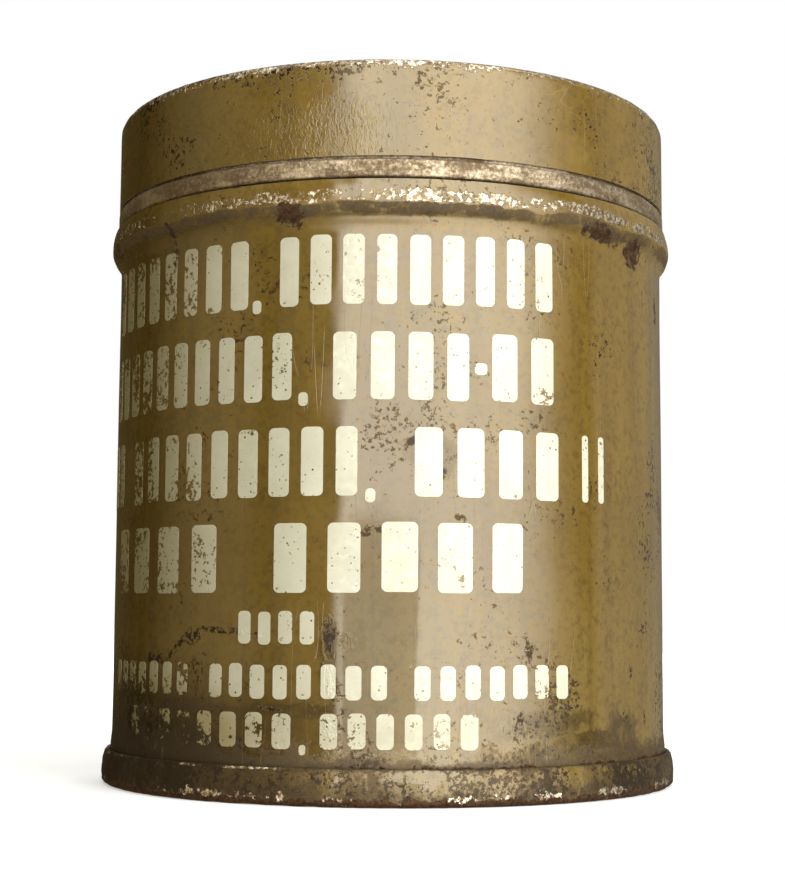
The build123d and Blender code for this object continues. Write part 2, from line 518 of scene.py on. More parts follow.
def lacquer_coat(p):
    """Colour, roughness and height of sound lacquer, aged and a little uneven."""
    clouds = p.noise(1, 14, 4)
    streaks = p.noise(2, 1.8, 3, (1, 1, 16))
    bands = p.noise(3, 6, 2, (1, 1, 9))
    fine = p.noise(4, 0.35, 4)
    tone = p.add(p.times(clouds, 0.5), p.times(streaks, 0.2), p.times(bands, 0.3))
    color = p.tint(p.step(tone, 0.40, 0.60), OLIVE_DARK, OLIVE)
    color = p.tint(p.times(p.step(p.noise(5, 8, 3, (1, 1, 3)), 0.55, 0.75), 0.5), color, OLIVE_PALE)
    stripes = p.step(p.noise(10, 1.5, 2, (1, 1, 40)), 0.52, 0.68)
    color = p.tint(p.times(stripes, 0.30), color, TARNISH)
    mottle = p.add(p.times(fine, 0.6), p.times(p.noise(9, 1.1, 5, rough=0.7), 0.5))
    color = p.tint(p.times(p.step(mottle, 0.52, 0.68), 0.55), color, TARNISH)
    rough = p.add(0.05, p.step(p.noise(6, 3.5, 5), 0.50, 0.74, 0.0, 0.14), p.times(fine, 0.05))
    height = p.add(p.times(fine, 0.0016), p.times(p.noise(7, 7, 1), 0.030), p.times(streaks, 0.003))
    height = p.add(height, p.times(p.noise(8, 1.6, 2), 0.006))
    return color, rough, height


def specks(p, seed, share=0.0):
    """Small dark crumbs, thick in some places and thin in others; share adds more of them."""
    crumb = p.times(p.noise(seed, 0.26, 4, rough=0.7), 0.7)
    thick = p.times(p.noise(seed + 2, 4, 4), 0.55)
    return p.step(p.add(crumb, thick, share), 0.745, 0.775)


def grime_and_shade_over(p, coat, amount):
    """Brown dirt over a coat, which on the wall also lays painted shade under the bead; amount from 0 to
    1 and over says how much of it there is.
    """
    color, rough, height = coat
    grit = p.noise(12, 0.30, 4, rough=0.7)
    patch = p.add(p.times(p.noise(11, 2.4, 7, rough=0.7), 0.85), p.times(grit, 0.50))
    cover = p.step(p.add(patch, amount), 0.90, 1.12)
    color = p.tint(p.times(cover, 0.90), color, p.tint(p.step(grit, 0.42, 0.60), GRIME_AND_SHADE, PALE_GRIME_AND_SHADE))
    rough = p.mix(cover, rough, 0.55)
    height = p.add(height, p.times(cover, grit, 0.03))
    return (color, rough, height), cover


def worn_through(p, coat, wear, rust, dull):
    """Chips down to the steel and rust; wear, rust and dull from 0 to 1, dull being dark dirt and, on the
    wall, painted shade too.
    """
    color, rough, height = coat
    crumbs = p.add(p.times(p.noise(21, 0.34, 5, rough=0.72), 0.75), p.times(p.noise(22, 1.6, 3), 0.35))
    bare = p.step(p.add(crumbs, wear), 0.965, 1.0)
    stain = p.step(p.add(p.noise(23, 0.7, 6, rough=0.7), rust), 0.90, 0.97)
    grit = p.noise(24, 0.22, 3)
    metal_color = p.tint(p.step(grit, 0.40, 0.62), (0.22, 0.15, 0.09), STEEL)
    color = p.tint(bare, color, metal_color)
    color = p.tint(stain, color, p.tint(p.step(grit, 0.35, 0.65), RUST, RUST_PALE))
    clean = p.times(bare, p.without(stain), 0.9)
    golden = p.times(p.step(p.noise(25, 0.40, 5, rough=0.72), 0.47, 0.70), 0.24)
    metal = p.most(clean, p.times(p.most(dull, stain), 0.85), golden)
    rough = p.mix(bare, rough, 0.30)
    rough = p.mix(stain, rough, 0.70)
    height = p.add(height, p.times(bare, -0.03), p.times(bare, grit, 0.12), p.times(stain, grit, 0.08))
    return color, rough, height, metal


def finish_lacquer(p, coat, wear, rust, dull):
    """Wears a coat through and makes the material."""
    color, rough, height, metal = worn_through(p, coat, wear, rust, dull)
    return p.finish(color, rough, height, metal, LACQUER_GLOSS)


def scratches(p, seed, size, stretch):
    """Thin lines, longer along a stretched axis."""
    line = p.noise(seed, size, 1, stretch)
    ridge = p.math("ABSOLUTE", p.math("SUBTRACT", line, 0.5))
    return p.times(p.step(ridge, 0.006, 0.001), p.step(p.noise(seed + 1, 6, 2), 0.50, 0.62))


def wrinkles(p):
    """Height of lacquer that has shrunk into fine upright wrinkles."""
    return p.times(p.math("SUBTRACT", p.noise(81, 0.17, 3, (1, 1, 1.8), 0.9), 0.5), 0.075)


# Marks on the front of the wall: arc, height, half-width, half-height, lean
DARK_MARKS = [
    (-28.0, 14.2, 2.4, 0.60, 0),
    (-24.6, 15.4, 2.6, 0.38, 42),
    (-22.0, 16.6, 1.6, 0.75, 10),
    (-18.4, 17.3, 3.4, 0.34, -3),
    (-14.4, 16.9, 1.9, 0.30, -6),
    (-5.9, 17.2, 0.85, 1.6, 0),
    (-6.1, 14.2, 0.55, 1.8, 0),
    (-5.5, 11.6, 0.7, 1.3, 8),
    (-5.6, 7.6, 0.9, 1.2, -8),
    (14.8, 15.3, 0.55, 1.1, 8),
    (19.6, 9.6, 2.0, 0.26, 4),
    (13.6, 8.0, 0.45, 1.3, -12),
    (4.6, 33.4, 1.6, 0.7, -25),
    (2.4, 36.4, 1.1, 0.5, 30),
    (7.2, 28.6, 0.7, 0.4, 0),
    (-2.2, 27.2, 1.7, 0.5, 12),
    (-12.4, 9.5, 1.6, 0.22, -8),
    (30.2, 13.2, 0.30, 0.8, -8),
    (33.6, 8.2, 0.35, 0.9, 12),
    (39.0, 53.0, 0.7, 1.8, 12),
]
# Soft brown films, in the same way
SMEARS = [
    (-21.0, 9.3, 7.0, 1.0, -3),
    (-25.0, 6.4, 9.0, 1.6, -4),
    (-9.0, 9.4, 4.5, 0.8, 0),
    (17.0, 7.9, 6.0, 1.5, 4),
    (22.5, 6.0, 7.0, 1.3, 6),
    (-5.8, 14.8, 1.3, 4.0, 0),
    (28.5, 6.8, 3.2, 2.4, -20),
    (4.4, 35.2, 3.4, 2.2, -20),
]
# Rust that has run down from under the bead, in the same way
RUST_DRIPS = [
    (-25.8, 58.0, 0.9, 2.2, 6),
    (-10.4, 59.4, 1.7, 1.3, 0),
    (24.5, 59.4, 3.6, 1.0, -6),
    (31.0, 58.4, 2.0, 1.6, 10),
]
# Thin dirty films that take the gloss off, in the same way
HAZES = [
    (8.5, 38.5, 8.5, 7.0, 12),
    (2.5, 22.5, 6.5, 9.5, 0),
    (4.0, 34.0, 4.0, 2.6, -20),
    (14.5, 8.0, 7.5, 3.2, 6),
    (-1.0, 50.0, 7.0, 3.0, 0),
    (23.0, 57.5, 9.0, 2.6, 0),
]


def bead_crest(p, along, wavy):
    """Where the bead's crest is knocked and rubbed."""
    crest = p.times(p.step(wavy, 61.2, 61.7), p.step(wavy, 63.4, 62.6))
    crest = p.times(crest, p.step(p.noise(61, 9, 2), 0.30, 0.52, 0.72, 1.0))
    return p.times(crest, p.step(along, -24, -4, 0.88, 1.0))


def wall_grime_and_shade(p, along, wavy, low, root, film, drips):
    """How much dirt lies on the wall, with painted shade under the bead given as dirt too; low and root
    are its shares low down and above the seam.
    """
    left = p.times(p.step(along, 0, -34, 0.0, 0.24), p.step(p.z, 34, 5))
    right_foot = p.times(p.step(p.z, 9, 4.4), p.step(along, 8, 26), 0.17)
    # Painted shade: dirt colour laid along the bead's lower flank to darken it
    under_bead_shade = p.times(p.step(wavy, 59.8, 60.6), p.step(wavy, 61.9, 61.3), 0.48)
    slopes = p.add(low, left, right_foot, root, under_bead_shade, p.times(film, 0.07))
    return p.add(slopes, p.times(drips, 0.40), -0.04)


def wall_paint(p):
    """Everything on the body's outside: shared by the wall itself and the print on it."""
    along = p.arc()
    ragged = p.noise(31, 0.55, 5, rough=0.7)
    soft = p.noise(36, 1.0, 6, rough=0.7)
    wavy = p.add(p.z, p.times(p.noise(35, 3.5, 3), 1.8))
    marks = p.spots(along, DARK_MARKS, ragged)
    drips = p.spots(along, RUST_DRIPS, ragged)
    film = p.spots(along, HAZES, p.noise(33, 2.2, 5))
    smear = p.times(p.spots(along, SMEARS, soft), p.step(soft, 0.30, 0.62, 0.25, 0.65))
    low = p.add(p.step(p.z, 24, 3.5, 0.0, 0.18), p.step(p.z, 8, 3.8, 0.0, 0.20))
    root = p.step(p.add(p.z, p.times(p.noise(34, 2.2, 4), 2.2)), 6.0, 4.7, 0.0, 0.30)
    amount = wall_grime_and_shade(p, along, wavy, low, root, film, drips)
    # amount carries the painted shade under the bead as well as the dirt
    (color, rough, height), cover = grime_and_shade_over(p, lacquer_coat(p), amount)
    color = p.tint(smear, color, GRIME_AND_SHADE)
    # Painted shade: the wall is tinted near-black towards its lower left, the side away from the key lamp
    shade = p.times(p.step(along, 4, -24), p.step(p.z, 17, 6, 0.0, 0.88))
    color = p.tint(shade, color, SOOT_AND_SHADE)
    rough = p.add(rough, p.times(p.step(p.z, 57.2, 58.4), p.step(p.z, 61.4, 60.4), 0.20))
    crumbs = p.noise(32, 0.28, 4, rough=0.7)
    dirt = p.times(marks, p.step(p.add(crumbs, p.times(ragged, 0.5)), 0.68, 0.78))
    crumb_share = p.add(0.012, p.times(low, 0.15), p.times(film, 0.03))
    dark = p.most(p.times(dirt, 0.92), p.times(specks(p, 41, crumb_share), 0.8))
    color = p.tint(dark, color, SOOT_AND_SHADE)
    rough = p.mix(dark, rough, 0.45)
    lines = p.most(scratches(p, 51, 1.8, (1, 1, 16)), scratches(p, 54, 1.2, (1, 1, 9)))
    color = p.tint(p.times(lines, 0.4), color, OLIVE_PALE)
    crackle = p.times(p.spot(along, -4.0, 16.2, 0.9, 1.0, ragged=soft), wrinkles(p), 0.6)
    height = p.add(height, p.times(lines, -0.006), p.times(dirt, ragged, 0.05), crackle)
    crest = bead_crest(p, along, wavy)
    wear = p.add(p.times(crest, 0.44), p.times(dirt, 0.22))
    rust = p.add(p.times(crest, 0.26), p.times(drips, 0.38), p.times(cover, 0.12))
    rust = p.add(rust, p.times(root, p.step(along, -30, 10, 0.4, 1.1)))
    # dull also takes the painted shade, so the lower left reflects the screen darker
    dull = p.most(dark, p.times(cover, 0.45), p.times(smear, 0.55), p.times(shade, 0.7))
    return (color, rough, height), wear, rust, dull


def wall_lacquer():
    p = Paint("wall_lacquer")
    return finish_lacquer(p, *wall_paint(p))


def print_ink():
    """Cream printing on the lacquer, rubbed through in places."""
    p = Paint("print_ink")
    (color, rough, height), wear, rust, dull = wall_paint(p)
    along = p.arc()
    fine = p.noise(71, 0.30, 4, rough=0.65)
    slow = p.noise(72, 2.6, 4)
    old = p.add(p.step(along, -10, -36, 0.0, 0.14), p.step(p.z, 14, 7, 0.0, 0.07))
    old = p.add(old, p.times(p.step(p.z, 13, 6), p.step(along, -10, -26), 0.12))
    kept = p.add(p.times(fine, 0.55), p.times(slow, 0.45), p.times(old, -0.75))
    ink = p.step(kept, 0.355, 0.395)
    pits = p.math("LESS_THAN", p.cells(75, 0.7), 0.16)
    ink = p.times(ink, p.without(p.times(pits, p.step(p.noise(76, 3, 2), 0.45, 0.6))))
    cream = p.tint(p.step(slow, 0.35, 0.7), (0.76, 0.78, 0.68), (0.86, 0.88, 0.80))
    cream = p.tint(p.step(old, 0.01, 0.16), cream, (0.44, 0.40, 0.25))
    cream = p.tint(p.times(p.step(fine, 0.5, 0.8), 0.25), cream, (0.52, 0.48, 0.33))
    color = p.tint(ink, color, cream)
    rough = p.mix(ink, rough, 0.34)
    height = p.add(height, p.times(ink, 0.006))
    dull = p.times(dull, p.without(p.times(ink, 0.7)))
    return finish_lacquer(p, (color, rough, height), wear, rust, dull)


def lid_top_lacquer():
    """The lid's top, dulled by handling and dust."""
    p = Paint("lid_top_lacquer")
    edge = p.step(p.radius(), 26.0, 30.4)
    dirt = p.add(0.02, p.times(edge, p.step(p.radius(), 29.6, 28.6), 0.12))
    (color, rough, height), _ = grime_and_shade_over(p, lacquer_coat(p), dirt)
    rubbed = p.step(p.noise(86, 7, 5, rough=0.65), 0.42, 0.66)
    color = p.tint(p.times(rubbed, 0.40), color, OLIVE_PALE)
    dark = p.times(specks(p, 83, 0.03), 0.85)
    color = p.tint(dark, color, SOOT_AND_SHADE)
    lines = p.most(scratches(p, 91, 2.2, (7, 1, 1)), scratches(p, 94, 2.6, (1, 6, 1)))
    color = p.tint(p.times(lines, 0.5), color, OLIVE_PALE)
    rough = p.add(rough, 0.26, p.times(rubbed, 0.14))
    wear = p.add(p.times(p.step(p.radius(), 28.2, 28.7), p.step(p.radius(), 30.6, 29.4), 0.16), 0.04)
    color, rough, height, metal = worn_through(p, (color, rough, height), wear, p.times(wear, 0.7), dark)
    p.set("Specular IOR Level", 0.12)
    return p.finish(color, rough, height, p.times(metal, 0.8), 1.5)


def lid_lacquer():
    p = Paint("lid_lacquer")
    along = p.arc()
    color, rough, height = lacquer_coat(p)
    corner = p.times(p.step(p.z, lid_top - 2.6, lid_top - 0.4), p.step(p.radius(), 30.4, 31.2))
    hem = p.step(p.z, lid_edge + 2.2, lid_edge)
    skirt = p.step(p.radius(), 31.4, 31.9)
    wrinkled = p.times(p.step(along, -23, -15), p.step(along, 8, -4), p.step(p.z, 73.5, 69), skirt)
    height = p.add(height, p.times(wrinkled, wrinkles(p)))
    rough = p.add(rough, 0.12)
    dirty = p.add(p.times(hem, 0.16), p.times(corner, 0.12))
    (color, rough, height), cover = grime_and_shade_over(p, (color, rough, height), dirty)
    dark = p.times(specks(p, 83, p.add(0.03, p.times(corner, 0.04))), 0.85)
    flecks = p.times(p.step(p.noise(85, 0.5, 4, (1, 1, 1), 0.5), 0.62, 0.66), skirt)
    zone = p.most(p.step(along, 12, 3), p.step(along, 26, 34))
    dark = p.most(dark, p.times(flecks, p.step(along, -4, 0), zone, 0.9))
    color = p.tint(dark, color, SOOT_AND_SHADE)
    dull = p.most(dark, p.times(cover, 0.45))
    lines = p.most(scratches(p, 91, 1.6, (5, 1, 1)), scratches(p, 94, 1.6, (1, 1, 9)))
    color = p.tint(p.times(lines, 0.5), color, OLIVE_PALE)
    height = p.add(height, p.times(lines, -0.006), p.times(dark, -0.01))
    wear = p.add(p.times(corner, 0.38), p.times(hem, 0.20), p.times(p.noise(97, 7, 2), 0.12))
    rust = p.add(p.times(corner, 0.32), p.times(hem, 0.24))
    return finish_lacquer(p, (color, rough, height), wear, rust, dull)


def seam_lacquer():
    p = Paint("seam_lacquer")
    along = p.arc()
    outside = p.step(p.radius(), 31.6, 32.2)
    low = p.step(p.z, 2.6, 0.4)
    groove = p.times(p.step(p.z, 3.2, 3.75), p.step(p.radius(), 32.7, 32.2))
    left = p.add(p.step(along, 4, -30, 0.0, 0.36), p.step(along, 16, 32, 0.0, 0.18))
    dirt = p.add(p.times(outside, 0.22), p.times(low, 0.14), p.times(groove, 0.35), left)
    (color, rough, height), cover = grime_and_shade_over(p, lacquer_coat(p), p.add(dirt, 0.06))
    patchy = p.step(p.noise(128, 1.4, 5), 0.35, 0.60, 0.5, 1.0)
    # Painted shade: the seam is tinted near-black, in patches, towards the left
    shade = p.times(p.step(along, 2, -28, 0.0, 0.75), patchy)
    color = p.tint(shade, color, SOOT_AND_SHADE)
    dark = p.times(specks(p, 125, p.add(p.times(outside, 0.10), p.times(left, 0.12))), 0.85)
    color = p.tint(dark, color, SOOT_AND_SHADE)
    dull = p.most(dark, p.times(cover, 0.7))
    bright = p.step(p.noise(127, 3.2, 3), 0.42, 0.62, 0.30, 1.0)
    bright = p.times(bright, p.step(along, -34, -16, 0.6, 1.0))
    sole = p.step(p.z, 1.2, 0.2)
    ridge = p.times(p.step(p.z, 3.40, 3.56), p.step(p.z, 3.80, 3.74), p.step(p.radius(), 32.15, 32.3))
    ridge = p.times(ridge, p.step(along, 4, -8), p.step(p.noise(129, 5, 3), 0.36, 0.56))
    wear = p.add(p.times(low, bright, 0.43), p.times(outside, 0.15), p.times(ridge, 0.32))
    rust = p.add(p.times(low, 0.25), p.times(sole, 0.20), p.times(outside, 0.13))
    return finish_lacquer(p, (color, rough, height), wear, rust, dull)


# ---- the other materials
def tinplate(name, clean, stained, stain_share):
    """Bare tinplate, dulled and stained, with a faint rolled grain and rust freckles."""
    p = Paint(name)
    clouds = p.noise(101, 1.7, 7, (1.8, 1.8, 0.7), 0.3, 0.75)
    fine = p.noise(102, 0.20, 5, rough=0.75)
    grain = p.noise(103, 0.25, 2, (1, 1, 14))
    stain = p.step(p.add(clouds, p.times(fine, 0.70), stain_share), 0.68, 1.02)
    color = p.tint(stain, clean, stained)
    color = p.tint(p.times(p.step(grain, 0.4, 0.7), 0.25), color, stained)
    freckle = p.times(specks(p, 105), 0.8)
    color = p.tint(freckle, color, RUST)
    rough = p.add(0.30, p.times(stain, 0.22), p.times(fine, 0.12))
    metal = p.times(p.without(p.times(stain, 0.30)), p.without(p.times(freckle, 0.4)))
    height = p.add(p.times(fine, 0.09), p.times(grain, 0.004), p.times(freckle, -0.02))
    return p.finish(color, rough, height, metal)


def solder():
    p = Paint("solder")
    flow = p.noise(111, 1.6, 3, (1, 1, 3))
    fine = p.noise(112, 0.25, 3)
    color = p.tint(p.step(flow, 0.35, 0.65), (0.24, 0.23, 0.22), (0.42, 0.41, 0.39))
    rough = p.add(0.36, p.times(fine, 0.2))
    return p.finish(color, rough, p.add(p.times(flow, 0.15), p.times(fine, 0.02)), 0.85)


def seam_compound():
    p = Paint("seam_compound")
    fine = p.noise(121, 0.3, 3)
    color = p.tint(fine, (0.035, 0.018, 0.012), (0.075, 0.040, 0.025))
    return p.finish(color, p.add(0.45, p.times(fine, 0.3)), p.times(fine, 0.05))


def waxed_card():
    """Grey-brown card, darkened where wax has soaked in."""
    p = Paint("waxed_card")
    soaked = p.step(p.noise(131, 9, 4), 0.40, 0.62)
    fibres = p.most(p.noise(132, 0.35, 3, (6, 1, 1)), p.noise(133, 0.35, 3, (1, 6, 1)))
    color = p.tint(soaked, (0.40, 0.31, 0.19), (0.17, 0.10, 0.045))
    color = p.tint(p.times(p.step(fibres, 0.5, 0.8), 0.35), color, (0.50, 0.42, 0.29))
    rough = p.mix(soaked, 0.75, 0.40)
    return p.finish(color, rough, p.times(fibres, 0.06))


def polish_wax():
    """Dark brown paste, glossy where it was wiped and dull where it has dried."""
    p = Paint("polish_wax")
    dry = p.step(p.noise(141, 6, 4), 0.45, 0.62)
    fine = p.noise(142, 0.5, 4)
    color = p.tint(dry, (0.060, 0.024, 0.010), (0.105, 0.050, 0.024))
    color = p.tint(p.times(fine, 0.35), color, (0.040, 0.016, 0.008))
    rough = p.add(0.22, p.times(dry, 0.28), p.times(fine, 0.12))
    p.set("Subsurface Weight", 0.08)
    p.set("Subsurface Radius", (0.0015, 0.0006, 0.0003))
    p.set("Subsurface Scale", 1.0)
    return p.finish(color, rough, p.add(p.times(fine, 0.05), p.times(p.noise(143, 2.5, 3), 0.12)))


# ---- printing on the wall
# Rows of the front's printing, as plain bars: bottom and top of a row, then the arc where each
# run of bars starts and ends and how many bars it has
PRINT_ROWS = [
    (50.2, 57.4, ((-41.0, -15.3, 8), (-11.6, 17.7, 9))),
    (40.5, 47.4, ((-42.0, -10.2, 10), (-5.8, 8.2, 4), (10.6, 17.8, 2))),
    (30.7, 37.7, ((-46.5, -38.0, 3), (-34.0, -3.2, 9), (2.6, 18.4, 4))),
    (21.1, 28.1, ((-39.0, -18.8, 4), (-11.9, 14.1, 5))),
    (15.9, 19.2, ((-15.9, -7.5, 4),)),
    (10.5, 13.9, ((-39.0, -22.7, 7), (-19.5, -0.1, 8), (2.6, 19.7, 7))),
    (5.6, 9.1, ((-33.4, -9.9, 8), (-6.8, 9.1, 6))),
]
# Small marks beside the rows: arc, bottom and top, width
PRINT_DOTS = [
    (-14.2, 49.6, 51.0, 1.0),
    (-8.9, 39.9, 41.3, 1.0),
    (9.4, 43.2, 44.4, 1.3),
    (-1.9, 30.1, 31.5, 1.0),
    (22.2, 30.7, 37.7, 0.9),
    (24.7, 30.7, 37.7, 0.9),
    (-8.6, 5.0, 6.0, 0.7),
]
INK_LIFT = 0.025             # how far the print's skin stands off the wall
BAR_SHARE = 0.63             # a bar's share of its place in the row
LAP_WIDTH = 5.2


def bar_grid(arc, low, high, width, corner):
    """Rows of (arc, height) points over an upright bar with round corners."""
    steps = max(2, math.ceil((high - low - 2 * corner) / 0.9))
    bends = [corner * (1 - math.cos(math.radians(a))) for a in (0, 25, 50, 72, 90)]
    levels = [low + b for b in bends[:-1]]
    levels += list(np.linspace(low + corner, high - corner, steps + 1))
    levels += [high - b for b in reversed(bends[:-1])]
    rows = []
    for level in levels:
        into = max(0.0, corner - min(level - low, high - level))
        half = width / 2 - corner + math.sqrt(max(0.0, corner**2 - into**2))
        rows.append([(arc + half * t, level) for t in (-1, -0.6, -0.2, 0.2, 0.6, 1)])
    return rows


def on_wall(places):
    """Points for (arc, height, lift off the wall) places, following the wall's unevenness."""
    arc, height, lift = np.array(places).T
    angle = np.degrees(arc / wall_radius)
    flat = wall_radius + flare * fade(-height, -seam_top - 2.3, -seam_top - 0.3)
    radius, level = wall_move(flat, angle, height)
    turn = arc / wall_radius
    return np.stack([(radius + lift) * np.sin(turn), -(radius + lift) * np.cos(turn), level], axis=1)


def add_skin(places, faces, grid, top, bottom):
    """A closed skin over the grid, between two distances from the wall's surface."""
    across = len(grid[0])
    start = len(places)
    for lift in (top, bottom):
        for row in grid:
            places.extend((arc, height, lift) for arc, height in row)
    layer = len(grid) * across
    for j in range(len(grid) - 1):
        for i in range(across - 1):
            a = start + j * across + i
            quad = (a, a + 1, a + across + 1, a + across)
            faces.append(quad)
            faces.append(tuple(v + layer for v in reversed(quad)))
    last = len(grid) - 1
    edge = list(range(across))
    edge += [j * across + across - 1 for j in range(1, last + 1)]
    edge += [last * across + i for i in range(across - 2, -1, -1)]
    edge += [j * across for j in range(last - 1, 0, -1)]
    for a, b in zip(edge, edge[1:] + edge[:1]):
        faces.append((start + b, start + a, start + a + layer, start + b + layer))


def make_print():
    rng = random.Random(21)
    places, faces = [], []
    for low, high, runs in PRINT_ROWS:
        for start, end, count in runs:
            pitch = (end - start) / (count - 1 + BAR_SHARE)
            for k in range(count):
                width = pitch * BAR_SHARE * rng.uniform(0.94, 1.04)
                arc = start + pitch * (k + BAR_SHARE / 2)
                shift = rng.uniform(-0.08, 0.08)
                grid = bar_grid(arc, low + shift, high + shift, width, min(0.55, width * 0.32))
                add_skin(places, faces, grid, INK_LIFT, -INK_LIFT)
    for arc, low, high, width in PRINT_DOTS:
        grid = bar_grid(arc, low, high, width, min(0.4, width * 0.4))
        add_skin(places, faces, grid, INK_LIFT, -INK_LIFT)
    return mesh_piece("front_print", on_wall(places), faces)


def make_lap():
    """The lapped side seam up the back of the wall: the outer sheet's free strip."""
    places, faces = [], []
    low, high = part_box("body_seam_solder")
    grid = bar_grid(math.pi * wall_radius, low.z / MM, high.z / MM, LAP_WIDTH, 0.05)
    add_skin(places, faces, grid, sheet, -0.1)
    return mesh_piece("side_seam_lap", on_wall(places), faces)


# ---- the pieces together
def sheet_piece(name, mid_line, step, turns, move=None):
    return lathe(name, section(stepped(mid_line, step), sheet), turns, move)


def paint_faces(obj, materials, choose):
    """Gives a piece its materials; choose picks one by a face's centre, normal and way outwards."""
    for material in materials:
        obj.data.materials.append(material)
    for face in obj.data.polygons:
        out = Vector((face.center.x, face.center.y, 0)).normalized()
        face.material_index = int(choose(face.center / MM, face.normal, out))


def inside_wall(c, n, out):
    return n.dot(out) < -0.3


def inside_base(c, n, out):
    return c.xy.length < 31.4 and (n.z > 0.3 or n.dot(out) < -0.5)


def lid_side(c, n, out):
    """0 on the lid's skirt and rim, 1 inside it, 2 on its top."""
    if n.z > 0.3 and c.xy.length < lid_radius - lid_corner - 0.4:
        return 2
    return n.z < -0.5 or n.dot(out) < -0.5


def polish_outline():
    """The paste: a dished top with a worn hollow, down to a plain round block."""
    top = []
    rings = 40
    side = polish_radius - paste_gap
    for k in range(rings + 1):
        r = side * k / rings
        top.append((r, polish_top - paste_drop - paste_dish * (1 - (r / polish_radius) ** 2)))
    low = polish_bottom + 0.1
    return np.array(top + [(side, low), (0, low)])


def polish_move(radius, angle, height):
    """Strokes of a cloth in the dish, and a crumbled rim."""
    top = fade(height, polish_top - 6, polish_top - 5) * fade(-radius, -polish_radius + 0.1, -29.5)
    turn = np.radians(angle)
    swirl = np.sin(3 * turn + radius * 0.55) + 0.6 * np.sin(7 * turn - radius * 0.8 + 1)
    x, y = radius * np.sin(turn), radius * np.cos(turn)
    lumps = np.sin(x * 0.9 + 2 * np.sin(y * 0.35)) * np.sin(y * 0.8 + 1.4 * np.sin(x * 0.5))
    rim = fade(radius, 22, 30) * ripple(angle, 0, 33, (5, 70))
    calm = fade(radius, 0, 4)
    return radius, height + top * (0.16 * swirl * calm + 0.12 * lumps + 0.35 * rim - 0.35)


def make_pieces():
    inner_tin = tinplate("tin_inside", (0.56, 0.53, 0.45), (0.16, 0.12, 0.08), 0.02)
    body = sheet_piece("body_wall", body_outline(), 1.0, 480, wall_move)
    coat = wall_lacquer()
    paint_faces(body, (coat, inner_tin), inside_wall)
    lap = make_lap()
    lap.data.materials.append(coat)
    neck = sheet_piece("neck_and_band", neck_outline(), 0.8, 360)
    neck.data.materials.append(tinplate("neck_tinplate", (0.60, 0.53, 0.42), (0.155, 0.112, 0.070), 0.06))
    base = sheet_piece("base_and_seam", base_outline(), 1.0, 480, seam_move)
    paint_faces(base, (seam_lacquer(), inner_tin), inside_base)
    lid = sheet_piece("lid_cap", lid_outline(), 0.8, 480, lid_move)
    paint_faces(lid, (lid_lacquer(), inner_tin, lid_top_lacquer()), lid_side)
    paste = lathe("polish_paste", polish_outline(), 240, polish_move, closed=False)
    paste.data.materials.append(polish_wax())
    ink = make_print()
    ink.data.materials.append(print_ink())
    for piece, body_name, node, slot in (
        (body, "tin", "body_shell", "aged_lacquer"),
        (neck, "tin", "neck_ring", "bare_tinplate"),
        (base, "tin", "base_end", "aged_lacquer"),
        (lid, "lid", "lid_shell", "aged_lacquer"),
        (paste, "tin", "polish", "polish"),
        (ink, "tin", None, "aged_lacquer"),
        (lap, "tin", None, "aged_lacquer"),
    ):
        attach(piece, body_name)
        if node:
            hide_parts(node)


def finish_cad_nodes():
    solder_metal = solder()
    for node, material in (
        ("body_seam_solder", solder_metal),
        ("neck_ring_solder", solder_metal),
        ("base_seam_compound", seam_compound()),
        ("lid_liner", waxed_card()),
    ):
        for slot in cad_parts[node].material_slots:
            slot.material = material


# ---- camera, light and floor
# The camera: focal length on a 36 mm sensor, place in mm, and its turns in radians
CAMERA_LENS = 70.73
CAMERA_PLACE = (0, -207.2, 18.45)
CAMERA_PAN = -0.0017
CAMERA_TILT = 0.0975         # upwards
CAMERA_ROLL = 0.0061
# Lamps: name, azimuth, elevation, distance and size in metres, power in watts
LAMPS = [
    ("key", 42, 15, 0.8, 0.5, 7.2),
    ("top", 10, 75, 0.8, 0.6, 3.6),
    ("back", 170, 25, 0.8, 0.5, 4.3),
]
WARM = (1.0, 0.95, 0.86)
SCREEN_LIGHT = 4.0
# What the tin mirrors: level of the screen round it, by azimuth in degrees
SCREEN_LEVELS = [
    (-180, 0.40), (-173, 0.40), (-170, 0.020), (-118, 0.012), (-108, 0.030), (-97, 0.070),
    (-74, 0.165), (-60, 0.155), (-50, 0.055), (-43, 0.135), (-20.5, 0.140), (-19.3, 1.0),
    (30, 1.0), (50, 0.88), (60, 0.60), (70, 0.28), (80, 0.05), (87, 0.03),
    (92, 0.12), (140, 0.085), (170, 0.03), (173, 0.40), (180, 0.40),
]


def make_camera():
    data = bpy.data.cameras.new("camera")
    data.sensor_width = 36
    data.lens = CAMERA_LENS
    data.clip_start = 0.01
    data.clip_end = 20
    camera = bpy.data.objects.new("camera", data)
    bpy.context.scene.collection.objects.link(camera)
    place = Matrix.Translation(Vector(CAMERA_PLACE) * MM)
    pan = Matrix.Rotation(CAMERA_PAN, 4, "Z")
    tilt = Matrix.Rotation(math.pi / 2 + CAMERA_TILT, 4, "X")
    camera.matrix_world = place @ pan @ tilt @ Matrix.Rotation(CAMERA_ROLL, 4, "Z")
    bpy.context.scene.camera = camera


def lamp(name, azimuth, elevation, distance, size, power):
    """A soft lamp that faces the tin from an azimuth: 0 is the camera's side, 90 the right."""
    data = bpy.data.lights.new(name, "AREA")
    data.shape = "SQUARE"
    data.size = size
    data.energy = power
    data.color = WARM
    obj = bpy.data.objects.new(name, data)
    bpy.context.scene.collection.objects.link(obj)
    a, e = math.radians(azimuth), math.radians(elevation)
    away = Vector((math.sin(a) * math.cos(e), -math.cos(a) * math.cos(e), math.sin(e)))
    obj.location = Vector((0, 0, 0.035)) + away * distance
    obj.rotation_mode = "QUATERNION"
    obj.rotation_quaternion = away.to_track_quat("Z", "Y")
    obj.visible_camera = False
    obj.visible_glossy = False


